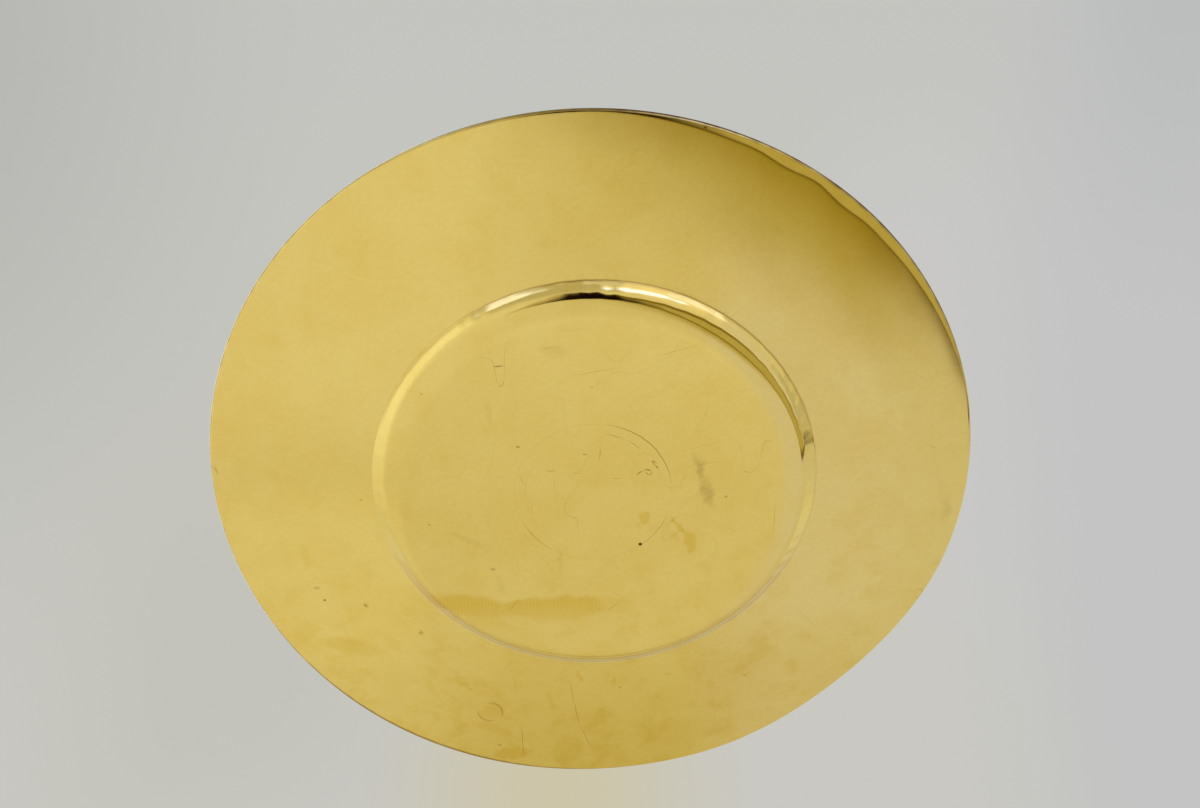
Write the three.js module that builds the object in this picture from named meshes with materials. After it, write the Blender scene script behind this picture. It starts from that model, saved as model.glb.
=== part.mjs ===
// A paten: the shallow plate that covers a chalice, raised from one disc of gilt sheet metal.
// Millimetres, +Z up. The plate lies with its hollow up, and the flat underside of its well is on z = 0.

import * as THREE from 'three';

// The sheet, and the run of its middle surface from the centre of the well out to the edge.
// Slopes are in degrees above the floor, and radii of bends are those of the middle surface.
const SHEET = 1.0;             // thickness of the metal
const FLAT_RADIUS = 36;        // flat floor of the well
const LIFT_LENGTH = 4.8;       // where the floor starts to lift before the bend
const LIFT_SLOPE = 4;
const SHOULDER_RADIUS = 1.75;  // bend up from the floor to the wall
const WALL_SLOPE = 72;
const WALL_LENGTH = 0.1;       // straight stretch between the two bends
const FOLD_RADIUS = 1.3;       // bend back from the wall to the rim
const RIM_INNER_SLOPE = 4.6;   // rim where it leaves the fold
const RIM_OUTER_SLOPE = 6.2;   // rim at its edge
const RIM_RADIUS = 75;         // outer edge where it was cut true

// The well was sunk a little off the rim's centre, so the rim's centre is here
const RIM_CENTRE_X = -0.45;
const RIM_CENTRE_Y = 0.25;

// The edge was trimmed by eye: one stretch is cut flat, and the next one is left full.
// Angles round the plate are in degrees from +X towards +Y.
const FLAT_CUT_DEPTH = 1.25;   // how far the flat stretch falls inside the true circle
const FLAT_CUT_ANGLE = 46;     // its middle
const FLAT_CUT_SPREAD = 30;    // from its middle to where it ends
const BELLY_HEIGHT = 0.65;     // how far the full stretch stands outside the true circle
const BELLY_ANGLE = 118;
const BELLY_SPREAD = 45;

// The rim has sprung a little out of true, in two waves round the plate
const WARP_HEIGHT = 0.2;       // at the edge, above and below the true rim
const WARP_ANGLE = 20;         // where the first wave is highest

// Facets
const STEPS_AROUND = 96;
const FLAT_STEPS = 3;
const LIFT_STEPS = 2;
const SHOULDER_STEPS = 8;
const FOLD_STEPS = 6;
const RIM_STEPS = 6;
const EDGE_STEPS = 4;          // round the half-round edge of the sheet

const radians = THREE.MathUtils.degToRad;

// One stretch of the middle surface whose slope changes evenly along its length: a straight line where
// the slope stays, and an arc where it changes. It goes on from the last of the points.
function addStretch(points, length, endSlope, steps) {
  const start = points.at(-1);
  for (let i = 1; i <= steps; i++) {
    const before = points.at(-1);
    const slope = THREE.MathUtils.lerp(start.slope, endSlope, i / steps);
    const halfTurn = (slope - before.slope) / 2;
    const chord = halfTurn === 0 ? length / steps : (length / steps) * (Math.sin(halfTurn) / halfTurn);
    points.push({
      radius: before.radius + chord * Math.cos(before.slope + halfTurn),
      height: before.height + chord * Math.sin(before.slope + halfTurn),
      slope,
    });
  }
}

// The middle surface from the axis to the end of the fold
function wellMiddle() {
  const points = [{ radius: 0, height: SHEET / 2, slope: 0 }];
  const lift = radians(LIFT_SLOPE);
  const wall = radians(WALL_SLOPE);
  const rim = radians(RIM_INNER_SLOPE);
  addStretch(points, FLAT_RADIUS, 0, FLAT_STEPS);
  addStretch(points, LIFT_LENGTH, lift, LIFT_STEPS);
  addStretch(points, SHOULDER_RADIUS * (wall - lift), wall, SHOULDER_STEPS);
  addStretch(points, WALL_LENGTH, wall, 1);
  addStretch(points, FOLD_RADIUS * (wall - rim), rim, FOLD_STEPS);
  return points;
}

// The same, with the rim, which is as long as brings the rounded edge out to the rim's radius
function plateMiddle() {
  const points = wellMiddle();
  const meanSlope = radians((RIM_INNER_SLOPE + RIM_OUTER_SLOPE) / 2);
  const reach = RIM_RADIUS - SHEET / 2 - points.at(-1).radius;
  addStretch(points, reach / Math.cos(meanSlope), radians(RIM_OUTER_SLOPE), RIM_STEPS);
  return points;
}

// The closed profile: underside outwards, round the edge, and back along the upper side to the axis
function sheetProfile() {
  const middle = plateMiddle();
  const beside = (point, turn) => new THREE.Vector2(
    point.radius + (SHEET / 2) * Math.sin(point.slope + turn),
    point.height - (SHEET / 2) * Math.cos(point.slope + turn),
  );
  const profile = middle.map((point) => beside(point, 0));
  for (let i = 1; i < EDGE_STEPS; i++) {
    profile.push(beside(middle.at(-1), (i * Math.PI) / EDGE_STEPS));
  }
  profile.push(...middle.map((point) => beside(point, Math.PI)).reverse());
  profile[0].x = 0;
  profile.at(-1).x = 0;
  return profile;
}

// A smooth swelling round the plate: 0, up to 1 at its middle, and back to 0
function swelling(degrees, middle, spread) {
  const away = Math.abs(THREE.MathUtils.euclideanModulo(degrees - middle + 180, 360) - 180);
  return away < spread ? (1 + Math.cos((Math.PI * away) / spread)) / 2 : 0;
}

// How far the trimmed edge stands outside the true circle
function edgeExcess(degrees) {
  return BELLY_HEIGHT * swelling(degrees, BELLY_ANGLE, BELLY_SPREAD)
    - FLAT_CUT_DEPTH * swelling(degrees, FLAT_CUT_ANGLE, FLAT_CUT_SPREAD);
}

// Trims, shifts and springs the rim: each grows from nothing at the fold to its full size at the edge
function shapeRim(geometry) {
  const foldEnd = wellMiddle().at(-1).radius;
  const place = geometry.getAttribute('position');
  for (let i = 0; i < place.count; i++) {
    const x = place.getX(i);
    const y = place.getY(i);
    const radius = Math.hypot(x, y);
    const share = (radius - foldEnd) / (RIM_RADIUS - foldEnd);
    if (share <= 0) continue;
    const degrees = THREE.MathUtils.radToDeg(Math.atan2(y, x));
    const stretch = 1 + (share * edgeExcess(degrees)) / radius;
    const wave = Math.cos(2 * radians(degrees - WARP_ANGLE));
    place.setXYZ(
      i,
      x * stretch + share * RIM_CENTRE_X,
      y * stretch + share * RIM_CENTRE_Y,
      place.getZ(i) + share ** 2 * WARP_HEIGHT * wave,
    );
  }
  geometry.computeVertexNormals();
  return geometry;
}

function dish() {
  const turned = new THREE.LatheGeometry(sheetProfile(), STEPS_AROUND);
  turned.rotateX(Math.PI / 2);
  const giltMetal = new THREE.MeshStandardMaterial({ color: 0xe6c577, roughness: 0.18, metalness: 1 });
  const mesh = new THREE.Mesh(shapeRim(turned), giltMetal);
  mesh.name = 'dish';
  return mesh;
}

const paten = new THREE.Group();
paten.name = 'paten';
paten.add(dish());

export default paten;
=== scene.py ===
# A gilt paten seen from below, as it was held up to the camera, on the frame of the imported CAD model.
# Metres and degrees. +Z is up out of the plate's hollow, and the flat underside of its well is on z = 0.
from math import radians

import bpy
import numpy as np
from mathutils import Matrix, Vector


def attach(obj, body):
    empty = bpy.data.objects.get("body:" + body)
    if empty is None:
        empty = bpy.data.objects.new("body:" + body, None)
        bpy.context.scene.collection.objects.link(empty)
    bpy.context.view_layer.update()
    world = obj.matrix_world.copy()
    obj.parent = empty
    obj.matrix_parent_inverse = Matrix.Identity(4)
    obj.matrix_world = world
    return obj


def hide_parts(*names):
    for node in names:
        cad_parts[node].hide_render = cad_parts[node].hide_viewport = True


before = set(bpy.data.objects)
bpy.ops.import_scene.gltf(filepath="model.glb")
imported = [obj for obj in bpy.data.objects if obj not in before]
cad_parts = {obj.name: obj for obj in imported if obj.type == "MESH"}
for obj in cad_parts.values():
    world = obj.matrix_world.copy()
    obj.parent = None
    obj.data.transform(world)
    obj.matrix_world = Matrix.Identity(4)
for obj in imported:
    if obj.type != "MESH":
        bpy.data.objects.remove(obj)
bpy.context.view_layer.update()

scene = bpy.context.scene
scene.view_settings.view_transform = "Standard"


# The camera
# It looks up at the underside from beyond the -Y side of the plate, so +Y points down in its picture.
LENS_MM = 45
CAMERA_PLACE = (0.0017805, -0.152419, -0.250168)
SIGHT_FROM_AXIS = 28.07        # between the line of sight and the plate's axis
CAMERA_ROLL = -2.78

camera = bpy.data.objects.new("camera", bpy.data.cameras.new("camera"))
camera.data.lens = LENS_MM
camera.matrix_world = (
    Matrix.Translation(CAMERA_PLACE)
    @ Matrix.Rotation(radians(180 - SIGHT_FROM_AXIS), 4, "X")
    @ Matrix.Rotation(radians(CAMERA_ROLL), 4, "Z")
)
scene.collection.objects.link(camera)
scene.camera = camera


# The dish
# The whole paten is one disc of sheet metal. Its well was sunk with a hammer over a stake, which leaves
# a flat floor, a shoulder, a steep wall and a fold out to the rim. The edge was trimmed by eye.
SHEET = 0.001
FLAT_RADIUS = 0.036
FOLD_RADIUS = 0.00065
RIM_INNER_SLOPE = 4.6
RIM_OUTER_SLOPE = 6.2
RIM_RADIUS = 0.075
RIM_CENTRE = (-0.00045, 0.00025)
SHOULDER_MIDDLE_SLOPE = 29
# The lift of the floor before the shoulder, its length and slope, the radii of the shoulder below and above
# its middle slope, and the slope and length of the wall. The hammer left them uneven round the well.
EVEN_WELL = (0.00417, 4, 0.0015, 0.0012, 39, 0.00282)
BROAD_WELL = (0.0036, 9, 0.004, 0.0015, 40, 0.0021)
STEEP_WELL = (0.0046, 8, 0.0031, 0.0031, 56, 0.0005)
SOFT_WELL = (0.0032, 8, 0.0056, 0.0015, 52, 0.0005)
# Where each of the last three is most itself, and how far it spreads from there each way
BROAD_ANGLE = (205, 55)
STEEP_ANGLE = (270, 100)
SOFT_ANGLE = (308, 52)
DENT_DEPTH = 0.000012          # of each wave of the hammer marks round the wall
DENTS_AROUND = (28, 90)        # fewest and most of a wave's dents in one turn
DENT_WAVES = 9
FLAT_CUT_DEPTH = 0.00125       # one stretch of the edge is cut flat
FLAT_CUT_ANGLE = 46
FLAT_CUT_SPREAD = 30
BELLY_HEIGHT = 0.00065         # and the next one was left full
BELLY_ANGLE = 118
BELLY_SPREAD = 45
ROLL_SLOPE = 5.5               # between +X and -Y the edge was polished over in an uneven strip
ROLL_WIDTH = 0.0018            # over which it turns to that slope where it is widest
ROLL_NARROWEST = 0.1           # and the least share of that width elsewhere
ROLL_START = 0.0746            # radius at which it starts where it is narrowest
ROLL_WIDER = 0.002             # how much further in it starts where it is widest
ROLL_ANGLE = 309
ROLL_SPREAD = 40
ROLL_FULLNESS = 3              # how soon round the edge it reaches its full slope
ROLL_WAVE = 0.0004             # how far its start wanders in and out
ROLL_WAVE_LENGTH = 11          # in degrees round the edge
ROLL_WAVE_ANGLE = 306
ROLL_WAVE_SPREAD = 18
WARP_HEIGHT = 0.0002           # the rim has sprung a little out of true
WARP_ANGLE = 20
SWELL_HEIGHT = 0.0000015       # of each wave of the low swells that the hammer left in the sheet
SWELL_LENGTHS = (0.009, 0.030)
SWELL_WAVES = 14
HAMMER_SEED = 7
STEPS_AROUND = 336
RINGS = {"flat": 26, "lift": 14, "low_shoulder": 14, "high_shoulder": 16, "wall": 4, "fold": 14}
RIM_RINGS = 44
RIM_RING_CROWDING = 1.8        # the rings draw together towards the edge
EDGE_RINGS = 8

around = np.arange(STEPS_AROUND) * (360 / STEPS_AROUND)
chance = np.random.default_rng(HAMMER_SEED)


def swelling(angle, middle, spread):
    """0 round the plate except near one angle, where it rises to 1 and falls again as a raised cosine."""
    away = np.abs((angle - middle + 180) % 360 - 180)
    return np.where(away < spread, (1 + np.cos(np.pi * away / spread)) / 2, 0)


def ease(share):
    """0 below 0, 1 above 1, and a smooth step between them."""
    share = np.clip(share, 0, 1)
    return share * share * (3 - 2 * share)


def running_sums(along, slope):
    """Radius and height of a line whose slope is given along its length: the sums of the cosine and the
    sine of the slope half-way along each step."""
    steps = np.diff(along, axis=0)
    half_way = (slope[1:] + slope[:-1]) / 2
    start = np.zeros_like(slope[:1])
    radius = np.concatenate((start, np.cumsum(steps * np.cos(half_way), axis=0)))
    height = np.concatenate((start, np.cumsum(steps * np.sin(half_way), axis=0)))
    return radius, height


def well_line(lift_length, lift_slope, low_radius, high_radius, wall_slope, wall_length):
    """Radius and height of the middle surface from the axis to the end of the fold, for arrays of sizes. Its
    slope is a broken line along its length: level on straight stretches, and changing evenly round bends."""
    lift, wall = np.radians(lift_slope), np.radians(wall_slope)
    middle, rim = np.radians((SHOULDER_MIDDLE_SLOPE, RIM_INNER_SLOPE))
    stretches = {
        "flat": (FLAT_RADIUS, 0),
        "lift": (lift_length, lift),
        "low_shoulder": (low_radius * (middle - lift), middle),
        "high_shoulder": (high_radius * (wall - middle), wall),
        "wall": (wall_length, wall),
        "fold": (FOLD_RADIUS * (wall - rim), rim),
    }
    along, slope = [np.zeros((1, len(wall)))], [np.zeros((1, len(wall)))]
    for name, (length, end_slope) in stretches.items():
        share = np.arange(1, RINGS[name] + 1)[:, None] / RINGS[name]
        along.append(along[-1][-1] + length * share)
        slope.append(slope[-1][-1] + (end_slope - slope[-1][-1]) * share)
    return running_sums(np.concatenate(along), np.concatenate(slope))


def middle_surface():
    """Radius and height of the middle surface, rings by steps round the plate. The well's sizes turn from
    the even ones to the broad, steep and soft ones as swellings round the plate, and its line is drawn out
    to the even fold. Dents move the wall in and out by a sum of sine waves, most half-way up. The rim climbs
    evenly, and along the rolled strip its slope grows by a smooth step."""
    even_radius, even_height = well_line(*np.array(EVEN_WELL)[:, None])
    sizes = np.outer(EVEN_WELL, np.ones(STEPS_AROUND))
    for uneven, where in ((BROAD_WELL, BROAD_ANGLE), (STEEP_WELL, STEEP_ANGLE), (SOFT_WELL, SOFT_ANGLE)):
        sizes = sizes + (np.array(uneven)[:, None] - sizes) * swelling(around, *where)
    radius, height = well_line(*sizes)
    past_flat = np.clip(radius - FLAT_RADIUS, 0, None)
    radius = radius + past_flat * (even_radius[-1] - radius[-1]) / past_flat[-1]
    height = height * even_height[-1] / height[-1]
    turns = chance.integers(*DENTS_AROUND, DENT_WAVES)
    phase = chance.uniform(0, 2 * np.pi, DENT_WAVES)
    dents = np.sin(np.multiply.outer(np.radians(around), turns) + phase).sum(axis=-1)
    up_wall = np.clip(height / height[-1], 0, 1)
    radius = radius + DENT_DEPTH * dents * 4 * up_wall * (1 - up_wall)

    fold_end = even_radius[-1, 0]
    inner, outer = np.radians((RIM_INNER_SLOPE, RIM_OUTER_SLOPE))
    share = 1 - (1 - np.arange(RIM_RINGS + 1) / RIM_RINGS) ** RIM_RING_CROWDING
    reach = (RIM_RADIUS - SHEET / 2 - fold_end) / np.cos((inner + outer) / 2)
    wider = swelling(around, ROLL_ANGLE, ROLL_SPREAD)
    rolled = np.minimum(1, ROLL_FULLNESS * wider)
    waves = np.cos(2 * np.pi * (around - ROLL_WAVE_ANGLE) / ROLL_WAVE_LENGTH)
    waves = waves * swelling(around, ROLL_WAVE_ANGLE, ROLL_WAVE_SPREAD)
    roll_start = ROLL_START - ROLL_WIDER * wider + ROLL_WAVE * waves
    roll_width = ROLL_WIDTH * np.maximum(wider, ROLL_NARROWEST)
    rolled = rolled * ease((fold_end + (reach * share)[:, None] - roll_start) / roll_width)
    slope = (inner + (outer - inner) * share)[:, None] + np.radians(ROLL_SLOPE) * rolled
    rim_radius, rim_height = running_sums((reach * share)[:, None], slope)
    radius = np.concatenate((radius, radius[-1] + rim_radius[1:]))
    height = np.concatenate((height, height[-1] + rim_height[1:]))
    return radius, SHEET / 2 + height, fold_end


def hammer_swells(x, y):
    """Low waves in the sheet: a sum of plane sine waves, each with its own heading, length and phase."""
    heading, phase = chance.uniform(0, 2 * np.pi, (2, SWELL_WAVES))
    length = chance.uniform(*SWELL_LENGTHS, SWELL_WAVES)
    run = (np.multiply.outer(x, np.cos(heading)) + np.multiply.outer(y, np.sin(heading))) / length
    return SWELL_HEIGHT * np.sin(2 * np.pi * run + phase).sum(axis=-1)


def dish_points():
    """A grid of points, rings by steps round the plate. The rings go along the underside from the axis,
    round the half-round edge, and back along the upper side; each lies half the sheet's thickness from
    the middle surface, square to it. The rim is stretched, shifted and sprung more towards its edge."""
    radius, height, fold_end = middle_surface()
    slope = np.arctan2(np.gradient(height, axis=0), np.gradient(radius, axis=0))
    turn = np.linspace(0, np.pi, EDGE_RINGS + 2)[1:-1, None]
    rounding = np.ones_like(turn)
    out = np.concatenate((radius[1:], rounding * radius[-1], radius[:0:-1]))
    up = np.concatenate((height[1:], rounding * height[-1], height[:0:-1]))
    facing = np.concatenate((slope[1:], slope[-1] + turn, slope[:0:-1] + np.pi))
    ring_radius = out + SHEET / 2 * np.sin(facing)
    ring_height = up - SHEET / 2 * np.cos(facing)
    share = np.clip((ring_radius - fold_end) / (RIM_RADIUS - fold_end), 0, None)
    excess = (
        BELLY_HEIGHT * swelling(around, BELLY_ANGLE, BELLY_SPREAD)
        - FLAT_CUT_DEPTH * swelling(around, FLAT_CUT_ANGLE, FLAT_CUT_SPREAD)
    )
    reach = ring_radius + share * excess
    x = reach * np.cos(np.radians(around)) + share * RIM_CENTRE[0]
    y = reach * np.sin(np.radians(around)) + share * RIM_CENTRE[1]
    warp = share**2 * WARP_HEIGHT * np.cos(2 * np.radians(around - WARP_ANGLE))
    return np.stack((x, y, ring_height + warp + hammer_swells(x, y)), axis=-1)


def closed_sheet(name, grid):
    """A mesh of quads between each ring of the grid and the next, closed by a fan of triangles to a
    centre point under the first ring and another over the last ring."""
    rings, steps = grid.shape[:2]
    centres = grid[[0, -1]].mean(axis=1)
    points = np.concatenate((grid.reshape(-1, 3), centres))
    ring, step = np.meshgrid(np.arange(rings - 1), np.arange(steps), indexing="ij")
    here, beside = ring * steps + step, ring * steps + (step + 1) % steps
    quads = np.stack((here, beside, beside + steps, here + steps), axis=-1).reshape(-1, 4)
    step = np.arange(steps)
    after = (step + 1) % steps
    last = (rings - 1) * steps
    under = np.stack((np.full(steps, rings * steps), after, step), axis=-1)
    over = np.stack((np.full(steps, rings * steps + 1), last + step, last + after), axis=-1)
    mesh = bpy.data.meshes.new(name)
    mesh.from_pydata(points.tolist(), [], under.tolist() + quads.tolist() + over.tolist())
    mesh.shade_smooth()
    piece = bpy.data.objects.new(name, mesh)
    scene.collection.objects.link(piece)
    return piece


dish_grid = dish_points()
dish = closed_sheet("gilt_dish", dish_grid)
# 1 on the underside and 0 on the upper side, for the rings' points and then for the two centre points
underside = dish.data.attributes.new("underside", "FLOAT", "POINT")
outward = np.arange(len(dish_grid)) < (len(dish_grid) + EDGE_RINGS) / 2
underside.data.foreach_set("value", np.append(np.repeat(outward, STEPS_AROUND), (1, 0)).astype(float))


def linear(hex_colour):
    """The linear colour, with an alpha of 1, of an sRGB hex string such as #c0ffee."""
    coded = np.array([int(hex_colour[i : i + 2], 16) for i in (1, 3, 5)]) / 255
    light = np.where(coded <= 0.04045, coded / 12.92, ((coded + 0.055) / 1.055) ** 2.4)
    return (*light.tolist(), 1.0)


def node(tree, kind, inputs, give=0, **settings):
    """Adds a node and returns the output that is asked for by name or number. Settings are the node's own
    properties. Inputs are its sockets: a socket given there is linked, and any other value is set."""
    made = tree.nodes.new("ShaderNode" + kind)
    for name, value in settings.items():
        setattr(made, name, value)
    for name, value in inputs.items():
        if isinstance(value, bpy.types.NodeSocket):
            tree.links.new(value, made.inputs[name])
        else:
            made.inputs[name].default_value = value
    return made.outputs[give]


# Gilt metal: brass or copper under a thin layer of gold, rubbed bright with a soft cloth. It gives a clear
# yellow mirror, blurred a little by fine wiping scratches. Fingers and damp have stained it orange and
# tarnish has mottled it. A pale sheen is painted on the near part of the duller wall, where it is seen at a
# grazing angle; shade is painted in the fold, and a dark reflection along the edge.
GOLD = "#fde380"
GOLD_WARM = "#fbdc74"
STAIN = "#eecb50"
SMUDGE = "#cdb461"
PAINTED_SHEEN = "#fcffee"             # painted pale sheen, where the near wall is seen at a grazing angle
# the colour of scratches and flecks, and of the shade painted in the fold
SCRATCH_AND_FOLD_SHADE = "#976700"
# the colour of real specks and of the dark reflection painted along the edge
SPECK_AND_DARK_REFLECTION = "#4a2600"
WALL_ROUGHNESS = 0.13
WIPED_ROUGHNESS = 0.1
STAINED_ROUGHNESS = 0.1
SMUDGE_ROUGHNESS = 0.2
SHEEN_BAND_ROUGHNESS = 0.3

# Sizes of the patterns
CLOUD = 0.016                  # soft clouds in the colour of the gold
MOTTLE = 0.006                 # finer mottling by tarnish
GRAIN = 0.0009                 # the finest flecks in it
WALL_PATCH = 0.0025
WIPE_TURNS = (4, 38, 97, 151)  # headings of the fine wiping scratches, in degrees
WIPE_SIZE = (0.011, 0.0003)    # length and width; the real ones are finer than the picture can show
WIPE_DEPTH = 0.0000005
RIB_SPACING = 0.0007           # skin ridges in the finger stain, drawn coarser than the real 0.45 mm
RIB_SCALE = np.pi / 10         # a wave node of scale 1 has its bands this far apart
RIB_WANDER = {"Distortion": 3, "Detail": 2, "Detail Scale": 1.5}
RAGGED_LENGTH = 0.0025         # length over which the outlines of the marks wander
RAGGED = 0.0012                # how far those of the stains and smudges do
NEARLY_NEAT = 0.00015          # and those of the scratches, rings and specks

# How the patterns show: between which values of the pattern they come in, and their strengths there
CLOUDS_SHOWN = {"From Min": 0.35, "From Max": 0.7, "To Min": 0, "To Max": 0.6}
CLOUDS_ROUGHNESS = {"From Min": 0.3, "From Max": 0.7, "To Min": 0.055, "To Max": 0.0825}
MOTTLE_SHOWN = {"From Min": 0.45, "From Max": 0.72, "To Min": 0, "To Max": 0.5}
MOTTLE_TOWARDS_Y = {"From Min": 0.01, "From Max": 0.06, "To Min": 0.35, "To Max": 1}
GRAIN_SHOWN = {"From Min": 0.3, "From Max": 0.7, "To Min": 0, "To Max": 0.03}
WIPES_SHOWN = {"From Min": 0.68, "From Max": 0.85}
WIPES_IN_CLOUDS = {"From Min": 0.4, "From Max": 0.62, "To Min": 0.3, "To Max": 1}
WIPES_STRENGTH = 0.045         # of their colour
SMEARS_SHOWN = {"From Min": 0.35, "From Max": 0.6, "To Min": 0.7, "To Max": 1}
RIBS_SHOWN = {"To Min": 0.7, "To Max": 1.05}
FINGER_TOWARDS_Y = {"From Min": 0.026, "From Max": 0.0315, "To Min": 1, "To Max": 0.3}
WALL_PATCHES_SHOWN = {"From Min": 0.3, "From Max": 0.6}
WALL_STARTS = {"From Min": 0.0412, "From Max": 0.0419}
WALL_ENDS = {"From Min": 0.0437, "From Max": 0.0431}

# Out to which share of its half width a mark is full, and over how many half widths a ring fades
STAIN_CORE = 0.6
SMUDGE_CORE = 0.1
SCRATCH_CORE = 0.3
RING_FADE = 1.3
MILLIMETRE = 0.001

# Marks on the underside, in millimetres: from x, y to x, y, half the width, and strength
STAINS = (
    (9.2, 6, 9.6, 7.6, 1.05, 0.6),
    (8.2, 8.3, 8.6, 8.7, 0.72, 0.3),
    (14.5, 7, 17.9, 11.4, 0.54, 0.65),
    (18.1, 11.6, 18.7, 14.6, 1.4, 0.65),
    (15.3, 10.8, 15.6, 12.2, 0.81, 0.3),
    (-9.2, 70.5, -8.4, 67.5, 4.2, 0.35),
    (-24, 69.5, -18.5, 69, 2.2, 0.6),
    (-58, 36.5, -47, 39, 2.6, 0.35),
    (-25.1, 56.8, -25, 56.9, 2.5, 0.25),
    (10, 66, 24, 64, 4.5, 0.14),
    (-30, 48.5, -29, 50, 0.7, 0.45),
    (-19, 46, -18.5, 52, 0.6, 0.3),
    (-5.5, 46.5, -5, 49, 0.6, 0.5),
    (1.5, 48, 2, 50.5, 0.5, 0.4),
    (-12, 51, -11.5, 57, 0.7, 0.3),
    (-1, 56, -0.5, 60, 0.8, 0.3),
    (13, 47.5, 14, 48, 0.5, 0.4),
    (-29, 60, -21, 63, 1.6, 0.25),
    (-5, 63.5, 3, 64.5, 1.2, 0.2),
    (-38, 47, -36, 52, 0.9, 0.25),
    (-60, 12, -58.5, 17, 1.2, 0.2),
    (22, 51, 23, 53, 0.8, 0.25),
)
FINGER_STAINS = (
    (-33, 24.8, -20, 27.8, 3.6, 0.85),
    (-27, 29.5, -20, 31.5, 1.8, 0.6),
    (-18.8, 27, -13.8, 27.2, 2.7, 0.85),
    (-14.6, 27.8, -1, 27.6, 4, 0.85),
    (0, 27.2, 5, 27.6, 2.6, 0.4),
    (5, 29.3, 7.8, 30.2, 1.6, 0.35),
)
SMUDGES = (
    (19.8, -7.2, 21.2, -1, 1.4, 0.75),
    (21.2, -1.6, 22.8, 5.2, 1.7, 0.75),
    (-29.5, 7.3, -21, 13.4, 1.17, 0.24),
    (-27, 10.5, -20.5, 12, 0.9, 0.21),
    (70.4, 9, 70.4, 15, 1.44, 0.28),
    (-8, -30.5, -3.5, -30.3, 1.98, 0.21),
    (-19.3, -21, -19.3, -15, 1.08, 0.21),
    (-7.7, 12, -7.5, 20, 0.81, 0.17),
    (-20.1, 18.5, -20, 24, 0.81, 0.17),
)
SCRATCHES = (
    (-9.5, -5, -7.3, -4.6, 0.14, 0.42),
    (-4.4, -4.3, -2.5, -3.9, 0.13, 0.35),
    (1.6, -10.2, 1, -6.2, 0.14, 0.35),
    (3.1, -2.5, 5.5, -2.4, 0.12, 0.28),
    (7.9, -2.9, 9.8, -4.1, 0.2, 0.6),
    (9.7, -4.2, 11.2, -3.9, 0.24, 0.6),
    (9.9, -3.7, 10.7, -2.7, 0.18, 0.5),
    (10.7, -2.7, 11.3, -3.7, 0.18, 0.5),
    (11.1, -6.1, 12.2, -5.5, 0.2, 0.6),
    (11.2, -5.9, 12, -4.8, 0.18, 0.5),
    (12, -4.9, 12.4, -4.4, 0.24, 0.6),
    (-14.6, -4.2, -13.6, -1.8, 0.1, 0.28),
    (-13, 2.5, -11.9, 5.5, 0.11, 0.28),
    (-7.9, -3.6, -7.7, 0.2, 0.12, 0.21),
    (-4.5, -25.1, 7, -26.7, 0.11, 0.28),
    (11, -28.1, 21.2, -30.5, 0.11, 0.28),
    (-9, -30.9, -5, -31.6, 0.11, 0.28),
    (35.3, 4, 34.8, 13.8, 0.11, 0.28),
    (14, -7, 30, -11, 0.1, 0.17),
    (15, -4.2, 28, -5.4, 0.1, 0.17),
    (-7.4, 48, -6.9, 56, 0.2, 0.25),
    (-7.1, 53, -5.9, 62.5, 0.2, 0.3),
    (-6.2, 60.5, -3.2, 70.3, 0.15, 0.32),
    (-18.4, 59, -18.9, 73, 0.17, 0.32),
    (-74.6, -6.6, -73.8, -4.4, 0.26, 0.35),
    (65.9, -3.9, 67.6, -2.9, 0.17, 0.28),
    (1, 29, 3.9, 26.8, 0.17, 0.28),
    (-16, 24.2, -19.5, 28.5, 0.17, 0.24),
    (38, 30, 47, 41, 0.12, 0.17),
)
SPECKS = (
    (8.35, 13, 8.45, 13, 0.5, 1),
    (-17.8, -28, -15.7, -28, 0.28, 0.44),
    (-14.6, -10.6, -14, -10.4, 0.32, 0.4),
    (25.4, 2.8, 25.7, 2.9, 0.35, 0.36),
    (-33.1, 6, -32.8, 6.2, 0.32, 0.28),
    (-37.8, 34.2, -37.7, 34.2, 0.3, 0.5),
    (-48.4, 27, -48, 26.8, 0.35, 0.4),
    (-56.7, 25.6, -56.5, 25.6, 0.35, 0.7),
    (-58.4, 22.5, -57.4, 22.5, 0.5, 0.25),
    (-21.5, 17.2, -20.9, 17.4, 0.42, 0.32),
    (-31.8, -22.9, -31.6, -22.9, 0.28, 0.28),
    (-46.2, 1.2, -46, 1.2, 0.28, 0.28),
    (0.3, -22.7, 0.5, -22.7, 0.28, 0.24),
    (-2, -8.3, -1.2, -8.1, 0.24, 0.36),
    (22.4, -70.5, 22.9, -70.3, 0.28, 0.72),
    (-24, 66.5, -23.4, 66.7, 0.35, 0.32),
    (3, 51, 3.3, 51.2, 0.28, 0.28),
    (29.5, 50, 29.9, 50, 0.35, 0.28),
)
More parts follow.
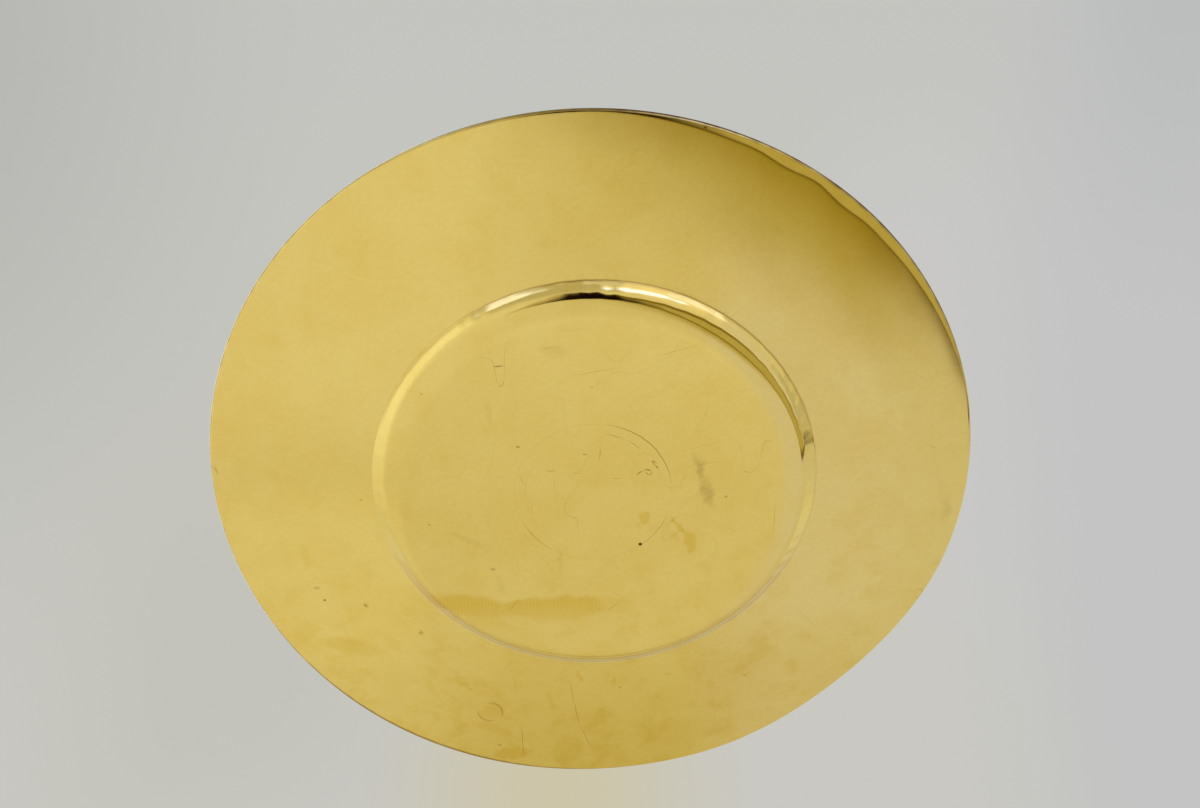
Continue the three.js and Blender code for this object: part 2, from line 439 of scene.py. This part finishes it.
# Rings on the underside, in millimetres: middle x, y, radius, half the width, the angle at which it is
# clearest, how far it goes on from there each way, and strength. The first table is a dark reflection
# painted along the edge, which also dims its glints, and the second a pale sheen painted on the near wall.
# The last has the strokes of a compass, the outlines of spots, shade painted in the fold, and tarnish along
# the edge.
# A dark reflection painted along the edge; the ring round the left side also dims the edge's glints
DARK_REFLECTION_RINGS = (
    (-0.45, 0.25, 75.05, 0.7, 277, 20, 0.9),
    (-0.45, 0.25, 75.05, 0.5, 300, 70, 1),
    (-0.45, 0.25, 75.2, 0.5, 180, 120, 0.75),
)
# A pale sheen painted on the near wall, where it is seen at a grazing angle
PAINTED_SHEEN_RINGS = ((0, 0, 42.5, 1.2, 90, 82, 0.95),)
RINGS_AND_FOLD_SHADE = (
    (-0.35, 0.6, 15.39, 0.12, 318, 42, 0.75),
    (-0.35, 0.6, 15.39, 0.1, 140, 20, 0.55),
    (-0.35, 0.6, 15.39, 0.1, 40, 22, 0.4),
    (-0.35, 0.6, 15.39, 0.1, 90, 180, 0.1),
    (-0.35, 0.6, 15.39, 0.1, 270, 180, 0.1),
    (-0.35, 0.6, 13.3, 0.13, 290, 5, 0.7),
    (-0.35, 0.6, 13.3, 0.13, 309, 5, 0.6),
    (-0.35, 0.6, 13.3, 0.1, 170, 60, 0.12),
    (-25.1, 56.8, 2.7, 0.3, 330, 80, 0.4),
    (-25.1, 56.8, 2.5, 0.3, 130, 80, 0.35),
    (65.8, 32.1, 1.2, 0.26, 0, 180, 0.25),
    # painted shade and dark reflection in the fold between the wall and the rim
    (0, 0, 43.5, 0.28, 290, 75, 0.5),
    (0, 0, 43.25, 0.4, 222, 26, 0.4),
    (0, 0, 43.5, 0.28, 15, 50, 0.12),
    (-37.8, 34.2, 0.55, 0.2, 0, 180, 0.55),
    (-48, 26.8, 0.6, 0.2, 150, 120, 0.5),
    (-0.45, 0.25, 75.3, 0.5, 92, 32, 0.5),
)


def place_in_mark(tree, place, middle, turn, size):
    """The place as a mark sees it: turned back about the mark's middle, and then measured from there in
    shares of the mark's half length and half width."""
    turned = {"Vector": place, "Center": (*middle, 0), "Angle": -turn}
    turned = node(tree, "VectorRotate", turned, rotation_type="Z_AXIS")
    share = (1 / size[0], 1 / size[1], 0)
    back = (-middle[0] / size[0], -middle[1] / size[1], 0)
    return node(tree, "VectorMath", {0: turned, 1: share, 2: back}, operation="MULTIPLY_ADD")


def marks_mask(tree, place, marks, core):
    """The strength of the strongest mark at each place. A mark is a long ellipse, full out to a share
    of its half width, and faded out at its outline."""
    mask = 0.0
    for x0, y0, x1, y1, half_width, strength in marks:
        middle = ((x0 + x1) / 2 * MILLIMETRE, (y0 + y1) / 2 * MILLIMETRE)
        half_length = np.hypot(x1 - x0, y1 - y0) / 2 + half_width
        size = (half_length * MILLIMETRE, half_width * MILLIMETRE)
        inside = place_in_mark(tree, place, middle, np.arctan2(y1 - y0, x1 - x0), size)
        away = node(tree, "VectorMath", {0: inside}, give="Value", operation="LENGTH")
        shown = {"Value": away, "From Min": 1, "From Max": core, "To Min": 0, "To Max": strength}
        shown = node(tree, "MapRange", shown, interpolation_type="SMOOTHSTEP")
        mask = node(tree, "Math", {0: shown, 1: mask}, operation="MAXIMUM")
    return mask


def rings_mask(tree, place, rings):
    """The strength of the strongest ring at each place: a ring shows where the distance from its middle
    is its radius, and fades with the cosine of the angle away from where it is clearest."""
    mask = 0.0
    for x, y, radius, half_width, clearest, spread, strength in rings:
        middle = (x * MILLIMETRE, y * MILLIMETRE)
        size = (radius * MILLIMETRE, radius * MILLIMETRE)
        inside = place_in_mark(tree, place, middle, radians(clearest), size)
        away = node(tree, "VectorMath", {0: inside}, give="Value", operation="LENGTH")
        off = node(tree, "Math", {0: away, 1: 1.0}, operation="SUBTRACT")
        off = node(tree, "Math", {0: off}, operation="ABSOLUTE")
        line = {"Value": off, "From Min": RING_FADE * half_width / radius, "From Max": 0}
        line = node(tree, "MapRange", line, interpolation_type="SMOOTHSTEP")
        cosine = node(tree, "SeparateXYZ", {0: inside}, give="X")
        ends = np.cos(radians(spread))
        shown = {"Value": cosine, "From Min": ends, "From Max": 1, "To Min": 0, "To Max": strength}
        shown = node(tree, "MapRange", shown, interpolation_type="SMOOTHSTEP")
        shown = node(tree, "Math", {0: line, 1: shown}, operation="MULTIPLY")
        mask = node(tree, "Math", {0: shown, 1: mask}, operation="MAXIMUM")
    return mask


gilt = bpy.data.materials.new("rubbed_gilt_brass")
gilt.use_nodes = True
tree = gilt.node_tree
place = node(tree, "TexCoord", {}, give="Object")
below = node(tree, "Attribute", {}, give="Fac", attribute_name="underside")

# Noise lies evenly about a half, so with that taken off it moves a place as far one way as the other
wander = node(tree, "TexNoise", {"Vector": place, "Scale": 1 / RAGGED_LENGTH, "Detail": 1}, give="Color")
wander = node(tree, "VectorMath", {0: wander, 1: (0.5, 0.5, 0.5)}, operation="SUBTRACT")
ragged = {0: wander, 1: (2 * RAGGED, 2 * RAGGED, 0), 2: place}
ragged = node(tree, "VectorMath", ragged, operation="MULTIPLY_ADD")
nearly_neat = {0: wander, 1: (2 * NEARLY_NEAT, 2 * NEARLY_NEAT, 0), 2: place}
nearly_neat = node(tree, "VectorMath", nearly_neat, operation="MULTIPLY_ADD")

# Soft clouds, mottling and fine flecks in the gold
clouds = node(tree, "TexNoise", {"Vector": place, "Scale": 1 / CLOUD, "Detail": 3})
cloudy = node(tree, "MapRange", {"Value": clouds, **CLOUDS_SHOWN}, interpolation_type="SMOOTHSTEP")
golds = {"Factor": cloudy, 6: linear(GOLD), 7: linear(GOLD_WARM)}
colour = node(tree, "Mix", golds, give=2, data_type="RGBA")
mottle = node(tree, "TexNoise", {"Vector": place, "Scale": 1 / MOTTLE, "Detail": 4, "Roughness": 0.6})
mottled = node(tree, "MapRange", {"Value": mottle, **MOTTLE_SHOWN}, interpolation_type="SMOOTHSTEP")
towards_y = node(tree, "SeparateXYZ", {0: place}, give="Y")
most_mottled = node(tree, "MapRange", {"Value": towards_y, **MOTTLE_TOWARDS_Y})
mottled = node(tree, "Math", {0: mottled, 1: most_mottled}, operation="MULTIPLY")
grain = node(tree, "TexNoise", {"Vector": place, "Scale": 1 / GRAIN, "Detail": 0})
grainy = node(tree, "MapRange", {"Value": grain, **GRAIN_SHOWN})

# Wiping scratches: fine noise drawn out along a few headings. The last heading also gives the grooves that
# can be felt and the streaks in the smudges.
wiped = 0.0
drawn_out = (1 / WIPE_SIZE[0], 1 / WIPE_SIZE[1], 1)
for turn in WIPE_TURNS:
    turned = {"Vector": place, "Rotation": (0, 0, radians(turn))}
    turned = node(tree, "Mapping", turned, vector_type="TEXTURE")
    along = node(tree, "VectorMath", {0: turned, 1: drawn_out}, operation="MULTIPLY")
    streaks = node(tree, "TexNoise", {"Vector": along, "Scale": 1.0, "Detail": 0})
    smeared = node(tree, "MapRange", {"Value": streaks, **SMEARS_SHOWN})
    grooves = node(tree, "MapRange", {"Value": streaks, **WIPES_SHOWN}, interpolation_type="SMOOTHSTEP")
    wiped = node(tree, "Math", {0: wiped, 1: grooves}, operation="MAXIMUM")
wiped_patches = node(tree, "MapRange", {"Value": clouds, **WIPES_IN_CLOUDS})
wiped = node(tree, "Math", {0: wiped, 1: wiped_patches}, operation="MULTIPLY")
wiped_brown = node(tree, "Math", {0: wiped, 1: WIPES_STRENGTH}, operation="MULTIPLY")

# The marks. The finger was drawn away towards +Y, so its stain fades along there.
stained = marks_mask(tree, ragged, STAINS, STAIN_CORE)
fingered = marks_mask(tree, ragged, FINGER_STAINS, STAIN_CORE)
ribs = {"Vector": place, "Scale": RIB_SCALE / RIB_SPACING, **RIB_WANDER}
ribs = node(tree, "TexWave", ribs, give="Fac")
ribs = node(tree, "MapRange", {"Value": ribs, **RIBS_SHOWN})
fingered = node(tree, "Math", {0: fingered, 1: ribs}, operation="MULTIPLY")
faded = node(tree, "MapRange", {"Value": towards_y, **FINGER_TOWARDS_Y})
fingered = node(tree, "Math", {0: fingered, 1: faded}, operation="MULTIPLY")
stained = node(tree, "Math", {0: stained, 1: fingered}, operation="MAXIMUM")
smudged = marks_mask(tree, ragged, SMUDGES, SMUDGE_CORE)
smudged = node(tree, "Math", {0: smudged, 1: smeared}, operation="MULTIPLY")
scratches_and_fold_shade = marks_mask(tree, nearly_neat, SCRATCHES, SCRATCH_CORE)
# the drawn rings, with the shade painted in the fold among them
drawn_rings_and_fold_shade = rings_mask(tree, nearly_neat, RINGS_AND_FOLD_SHADE)
scratches_and_fold_shade = node(tree, "Math", {0: scratches_and_fold_shade, 1: drawn_rings_and_fold_shade}, operation="MAXIMUM")
specks_and_dark_reflection = marks_mask(tree, nearly_neat, SPECKS, SCRATCH_CORE)
# the dark reflection painted along the edge
painted_dark_reflection = rings_mask(tree, nearly_neat, DARK_REFLECTION_RINGS)
specks_and_dark_reflection = node(tree, "Math", {0: specks_and_dark_reflection, 1: painted_dark_reflection}, operation="MAXIMUM")
# the pale sheen painted on the near wall
painted_sheen_band = rings_mask(tree, nearly_neat, PAINTED_SHEEN_RINGS)
masks = (stained, smudged, scratches_and_fold_shade, specks_and_dark_reflection, painted_sheen_band)
masks = [node(tree, "Math", {0: mask, 1: below}, operation="MULTIPLY") for mask in masks]
stained, smudged, scratches_and_fold_shade, specks_and_dark_reflection, painted_sheen_band = masks

# The duller wall, in patches
flattened = node(tree, "VectorMath", {0: place, 1: (1, 1, 0)}, operation="MULTIPLY")
from_axis = node(tree, "VectorMath", {0: flattened}, give="Value", operation="LENGTH")
patches = node(tree, "TexNoise", {"Vector": place, "Scale": 1 / WALL_PATCH, "Detail": 1})
patches = {"Value": patches, **WALL_PATCHES_SHOWN}
dull_wall = node(tree, "MapRange", patches, interpolation_type="SMOOTHSTEP")
for limits in (WALL_STARTS, WALL_ENDS):
    inside = node(tree, "MapRange", {"Value": from_axis, **limits}, interpolation_type="SMOOTHSTEP")
    dull_wall = node(tree, "Math", {0: dull_wall, 1: inside}, operation="MULTIPLY")

# What is laid over the gold, in turn
for share, paint in (
    (mottled, STAIN),
    # the pale sheen painted on the near wall
    (painted_sheen_band, PAINTED_SHEEN),
    (stained, STAIN),
    (grainy, SCRATCH_AND_FOLD_SHADE),
    (smudged, SMUDGE),
    (wiped_brown, SCRATCH_AND_FOLD_SHADE),
    # scratches and compass strokes, and the shade painted in the fold
    (scratches_and_fold_shade, SCRATCH_AND_FOLD_SHADE),
    # real specks, and the dark reflection painted along the edge
    (specks_and_dark_reflection, SPECK_AND_DARK_REFLECTION),
):
    painted = {"Factor": share, 6: colour, 7: linear(paint)}
    colour = node(tree, "Mix", painted, give=2, data_type="RGBA")

# And what dulls it, in turn
roughness = node(tree, "MapRange", {"Value": clouds, **CLOUDS_ROUGHNESS})
for share, dulled in (
    (wiped, WIPED_ROUGHNESS),
    (smudged, SMUDGE_ROUGHNESS),
    (stained, STAINED_ROUGHNESS),
    (dull_wall, WALL_ROUGHNESS),
    (painted_sheen_band, SHEEN_BAND_ROUGHNESS),
):
    roughness = node(tree, "Mix", {0: share, 2: roughness, 3: dulled})

shader = tree.nodes["Principled BSDF"]
shader.inputs["Metallic"].default_value = 1
bump = node(tree, "Bump", {"Height": grooves, "Distance": WIPE_DEPTH, "Strength": 1.0}, invert=True)
tree.links.new(colour, shader.inputs["Base Color"])
tree.links.new(roughness, shader.inputs["Roughness"])
tree.links.new(bump, shader.inputs["Normal"])
dish.data.materials.append(gilt)

dish.visible_diffuse = False   # the room below it must not shine back from it on to the floor
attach(dish, "root")
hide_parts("dish")


# The floor
# A plain pale board under the plate. The camera of the photograph looks up from below it, so it is seen
# only from above, and it keeps out of the light that reaches the underside.
FLOOR_SIZE = 60.0
FLOOR_COLOUR = "#dcdcd8"
FLOOR_ROUGHNESS = 0.8

floor = bpy.data.objects.new("floor", bpy.data.meshes.new("floor"))
corners = np.array(((-1, -1, 0), (1, -1, 0), (1, 1, 0), (-1, 1, 0))) * FLOOR_SIZE / 2
floor.data.from_pydata(corners.tolist(), [], [(0, 1, 2, 3)])
scene.collection.objects.link(floor)
floor.visible_diffuse = False
floor.visible_glossy = False
floor.visible_transmission = False
floor.visible_shadow = False
board = bpy.data.materials.new("pale_matt_board")
board.use_nodes = True
tree = board.node_tree
paint = tree.nodes["Principled BSDF"]
paint.inputs["Base Color"].default_value = linear(FLOOR_COLOUR)
paint.inputs["Roughness"].default_value = FLOOR_ROUGHNESS
behind = node(tree, "NewGeometry", {}, give="Backfacing")
clear = node(tree, "BsdfTransparent", {})
one_sided = node(tree, "MixShader", {0: behind, 1: paint.outputs[0], 2: clear})
tree.links.new(one_sided, tree.nodes["Material Output"].inputs["Surface"])
floor.data.materials.append(board)


# The room
# Above the floor it is a plain pale studio. Below it lies the room that the underside of the plate was held
# up to: a pale table whose edge falls away on the right, a dark gap ahead, a pale tent and three lamps.
ROOM_LEAN = 8.7                # between the room's level and the plate's -Y axis turned up
TENT = "#dfddde"
EDGE_TOP = 4.3                 # elevation of the table's edge ahead, in degrees
EDGE_BOTTOM = -20              # and far on the right
EDGE_TURN = -4                 # azimuth from which it falls away
EDGE_FALL_POWER = 2.83         # it falls by this power of the turn past there
EDGE_FALL = 0.00135            # times this
# The far side of the gap, as azimuth and elevation from left to right
GAP_TOP = ((-20, 42), (0, 39), (11, 23), (27, 19), (37, 11), (43, -3), (58, -12), (100, -13))
SPOTS = {                      # azimuth and elevation
    "left lamp": (-83, 61),
    "right lamp": (36, 52),
    "far lamp": (84, 46),
    "warm wall": (183.6, -51),
}
ON_TABLE = ("above edge", 0.4, -0.4)
IN_STUDIO = ("up", -0.6, 0.8)

# What is laid over the tent, in turn: its colour, how bright it is, and the angles in degrees over which
# it comes in
LAYERS = (
    ("#f9f8f9", 1, ("azimuth", -15, -110)),                            # the tent on the left
    ("#bbb6b0", 1, ("elevation", 28, 56)),                             # the ceiling
    ("#baad8b", 1, ("under gap top", -2, 2), ("azimuth", -14, -8)),    # the gap, from left to right
    ("#120700", 1, ("under gap top", -2, 3), ("azimuth", -9, -3)),
    ("#b5ac80", 1, ("under gap top", -2, 2), ("azimuth", 5, 15)),
    (
        "#7a6a26", 1, ("under gap top", -2, 1), ("under gap top", 9, 4),
        ("azimuth", 5, 10), ("azimuth", 50, 42),
    ),
    ("#c9c7cc", 1, ("under gap top", -2, 2), ("azimuth", 56, 74)),
    ("#dedbdd", 1, ON_TABLE),
    ("#d4d0cb", 1, ON_TABLE, ("elevation", -12, -24)),
    ("#d4d0cb", 1, ON_TABLE, ("elevation", -16, -6), ("azimuth", -12, 0)),
    ("#dbd8d4", 1, ("azimuth", -13, -17), ("elevation", -20, -24), ("elevation", -38, -32)),
    ("#d2d1e7", 1, ON_TABLE, ("azimuth", 6, 13), ("elevation", -42, -34)),
    ("#cbc7cc", 1, ("elevation", -33, -39), ("azimuth", 5, 10)),
    ("#cfced9", 1, ON_TABLE, ("azimuth", 19, 27)),
    ("#c4bca0", 1, ("elevation", -33, -45), ("azimuth", -19, -9), ("azimuth", 13, 5)),
    # What is mirrored in the table next to its edge, and the edge itself
    ("#b3a97c", 1, ON_TABLE, ("above edge", -9.5, -3.5), ("azimuth", -3, 13), ("azimuth", 25, 17)),
    ("#93821f", 1, ON_TABLE, ("above edge", -4.2, -0.4), ("azimuth", -8, 11), ("azimuth", 26, 19)),
    ("#59450d", 1, ("above edge", -0.5, 0.2), ("above edge", 2.6, 0.8), ("azimuth", -6, 2)),
    # The bright left side, the duller right side, what is below, and the pale cloth round the lamps
    ("#f9f9ff", 1, ("azimuth", -36, -66), ("elevation", -46, 8), ("elevation", 48, 34)),
    ("#d5d5ec", 1, ("azimuth", 30, 44), ("under gap top", 2, -2)),
    ("#bfbfc6", 1, ("azimuth", 48, 60), ("under gap top", 2, -2), ("elevation", 12, 4)),
    ("#beb9b2", 1, ("elevation", -42, -72)),
    (
        "#fbf7ff", 1, ("elevation", 28, 42), ("elevation", 78, 68),
        ("azimuth", 12, 26), ("azimuth", 135, 112),
    ),
    (
        "#fbf7ff", 0.85, ("elevation", 20, 30), ("elevation", 60, 50),
        ("azimuth", 20, 28), ("azimuth", 50, 42),
    ),
    ("#b8c0ff", 2.3, ("far lamp", 15, 6)),
    ("#93a2ff", 4.4, ("right lamp", 17, 8)),
    ("#b8c0ff", 2.3, ("left lamp", 16, 7)),
    # The studio above the floor: its pale backdrop, its walls, a dim wall and the windows over that
    ("#c3c4bf", 1, IN_STUDIO),
    ("#c9c8c2", 1, IN_STUDIO, ("along", 10, 34)),
    ("#b4b5b0", 1, IN_STUDIO, ("across", -8, -26), ("along", 38, 10)),
    (
        "#c3c2bb", 1, IN_STUDIO, ("across", -2, -14), ("across", -25, -15),
        ("along", 20, 34), ("along", 46, 37),
    ),
    ("#c9c8c7", 1, IN_STUDIO, ("across", 6, 13), ("along", 14, 24), ("along", 40, 30)),
    ("#c3c4c3", 1, IN_STUDIO, ("across", 12, 19)),
    ("#bbbdbc", 1, IN_STUDIO, ("across", 15, 21), ("along", 26, 10)),
    ("#cdc5a8", 1, IN_STUDIO, ("warm wall", 8, 0)),
    ("#dadad6", 1, IN_STUDIO, ("up", 17, 10)),
    ("#bcbcb7", 1, ("up", 11, 16), ("up", 27, 21)),
    ("#ffffff", 1, ("up", 22, 31), ("up", 41, 37)),
)

world = bpy.data.worlds.new("room")
scene.world = world
world.use_nodes = True
tree = world.node_tree
heading = node(tree, "TexCoord", {}, give="Generated")
plate_x, plate_y, plate_z = np.eye(3)
lean = radians(ROOM_LEAN)
room_up = -np.cos(lean) * plate_y - np.sin(lean) * plate_z
room_ahead = np.sin(lean) * plate_y - np.cos(lean) * plate_z


def angle_from(tree, direction, operation):
    """The arcsine or arccosine, in degrees, of how far the heading goes along a direction."""
    both = {0: heading, 1: direction.tolist()}
    along = node(tree, "VectorMath", both, give="Value", operation="DOT_PRODUCT")
    angle = node(tree, "Math", {0: along}, operation=operation)
    return node(tree, "Math", {0: angle}, operation="DEGREES")


elevation = angle_from(tree, room_up, "ARCSINE")
sideways = node(tree, "SeparateXYZ", {0: heading}, give="X")
ahead = {0: heading, 1: room_ahead.tolist()}
ahead = node(tree, "VectorMath", ahead, give="Value", operation="DOT_PRODUCT")
azimuth = node(tree, "Math", {0: sideways, 1: ahead}, operation="ARCTAN2")
azimuth = node(tree, "Math", {0: azimuth}, operation="DEGREES")

# The table's edge
past_turn = node(tree, "Math", {0: azimuth, 1: EDGE_TURN}, operation="SUBTRACT")
past_turn = node(tree, "Math", {0: past_turn, 1: 0}, operation="MAXIMUM")
fall = node(tree, "Math", {0: past_turn, 1: EDGE_FALL_POWER}, operation="POWER")
edge = node(tree, "Math", {0: fall, 1: -EDGE_FALL, 2: EDGE_TOP}, operation="MULTIPLY_ADD")
edge = node(tree, "Math", {0: edge, 1: EDGE_BOTTOM}, operation="MAXIMUM")

# The gap's far side is a curve drawn in shares of its width and height. The curve has two points already.
gap_turned, gap_raised = np.array(GAP_TOP).T
gap_left, gap_right = gap_turned[0], gap_turned[-1]
gap_low, gap_high = gap_raised.min(), gap_raised.max()
gap_top = node(tree, "MapRange", {"Value": azimuth, "From Min": gap_left, "From Max": gap_right})
gap_top = node(tree, "FloatCurve", {"Value": gap_top})
line = gap_top.node.mapping.curves[0].points
for added in GAP_TOP[2:]:
    line.new(0, 0)
for point, (turned, raised) in zip(line, GAP_TOP):
    share_across = (turned - gap_left) / (gap_right - gap_left)
    share_up = (raised - gap_low) / (gap_high - gap_low)
    point.location = (share_across, share_up)
gap_top.node.mapping.update()
gap_top = node(tree, "MapRange", {"Value": gap_top, "To Min": gap_low, "To Max": gap_high})

angles = {
    "elevation": elevation,
    "azimuth": azimuth,
    "above edge": node(tree, "Math", {0: elevation, 1: edge}, operation="SUBTRACT"),
    "under gap top": node(tree, "Math", {0: gap_top, 1: elevation}, operation="SUBTRACT"),
    "across": angle_from(tree, plate_x, "ARCSINE"),
    "along": angle_from(tree, plate_y, "ARCSINE"),
    "up": angle_from(tree, plate_z, "ARCSINE"),
}
for name, (turned, raised) in SPOTS.items():
    level = room_ahead * np.cos(radians(turned)) + plate_x * np.sin(radians(turned))
    centre = level * np.cos(radians(raised)) + room_up * np.sin(radians(raised))
    angles[name] = angle_from(tree, centre, "ARCCOSINE")

room = linear(TENT)
for paint, brightness, *limits in LAYERS:
    share = 1.0
    for name, start, end in limits:
        step = {"Value": angles[name], "From Min": start, "From Max": end}
        step = node(tree, "MapRange", step, interpolation_type="SMOOTHSTEP")
        share = node(tree, "Math", {0: step, 1: share}, operation="MULTIPLY")
    lit = (*(brightness * channel for channel in linear(paint)[:3]), 1)
    room = node(tree, "Mix", {0: share, 6: room, 7: lit}, give=2, data_type="RGBA")
tree.links.new(room, tree.nodes["Background"].inputs["Color"])


# The soft boxes
# Two wide lamps behind cloth hang over the plate. They shape its upper side and give the floor a soft
# shadow, and they are out of the picture.
SOFT_BOXES = (                 # azimuth, elevation, distance, width and power in watts
    (150, 58, 0.9, 0.7, 2.4),
    (-35, 42, 1.1, 0.5, 0.9),
)
for turned, raised, distance, width, power in SOFT_BOXES:
    turned, raised = radians(turned), radians(raised)
    towards = np.array((np.cos(turned) * np.cos(raised), np.sin(turned) * np.cos(raised), np.sin(raised)))
    light = bpy.data.lights.new("soft_box", "AREA")
    light.size = width
    light.energy = power
    soft_box = bpy.data.objects.new("soft_box", light)
    soft_box.location = (towards * distance).tolist()
    soft_box.rotation_euler = Vector(towards.tolist()).to_track_quat("Z", "Y").to_euler()
    soft_box.visible_camera = False
    scene.collection.objects.link(soft_box)
